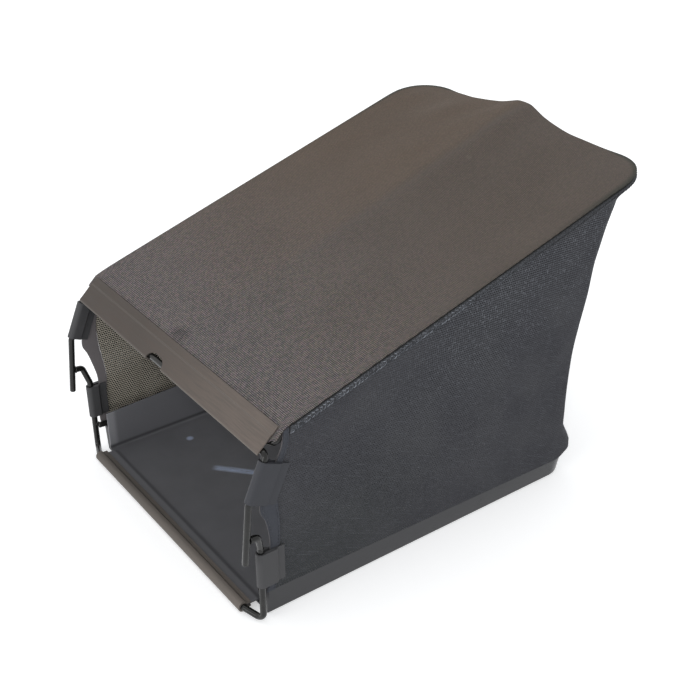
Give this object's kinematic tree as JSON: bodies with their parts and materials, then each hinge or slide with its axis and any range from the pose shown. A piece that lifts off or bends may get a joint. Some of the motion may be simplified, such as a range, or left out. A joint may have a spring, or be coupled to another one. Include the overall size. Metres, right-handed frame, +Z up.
{
  "type": "mower grass collection bag",
  "caption": "Wedge-shaped rear grass collection bag for a walk-behind mower: open front mouth, bent wire frame, woven top, mesh walls and a shallow moulded base pan.",
  "frame": {"origin": "middle of the bag's bounding footprint, on the ground plane under the base pan", "axes": "+X across the mouth, +Y from the open mouth to the closed rear, +Z up"},
  "size_m": [0.4492, 0.6014, 0.4428],
  "materials": {
    "wire": "gloss black powder coat",
    "trim_plastic": "warm grey, fine moulded texture",
    "clip_plastic": "dark grey, fine moulded texture",
    "pan_plastic": "black, semi-gloss moulded",
    "woven_cloth": "grey-brown plain weave",
    "mesh_cloth": "dark blue-black open mesh",
    "webbing": "dark woven binding"
  },
  "bodies": {
    "root": {"front_hoop": "wire", "upper_rail_hoop": "wire", "riser_hoop": "wire", "base_hoop": "wire", "rear_stay_left": "wire", "rear_stay_right": "wire", "top_trim": "trim_plastic", "bottom_trim": "trim_plastic", "upper_clip_left": "clip_plastic", "upper_clip_right": "clip_plastic", "lower_clip_left": "clip_plastic", "lower_clip_right": "clip_plastic", "base_pan": "pan_plastic", "top_panel": "woven_cloth", "side_mesh_left": "mesh_cloth", "side_mesh_right": "mesh_cloth", "rear_mesh": "mesh_cloth", "front_hem_left": "webbing", "front_hem_right": "webbing", "seam_tape": "webbing"}
  },
  "joints": []
}
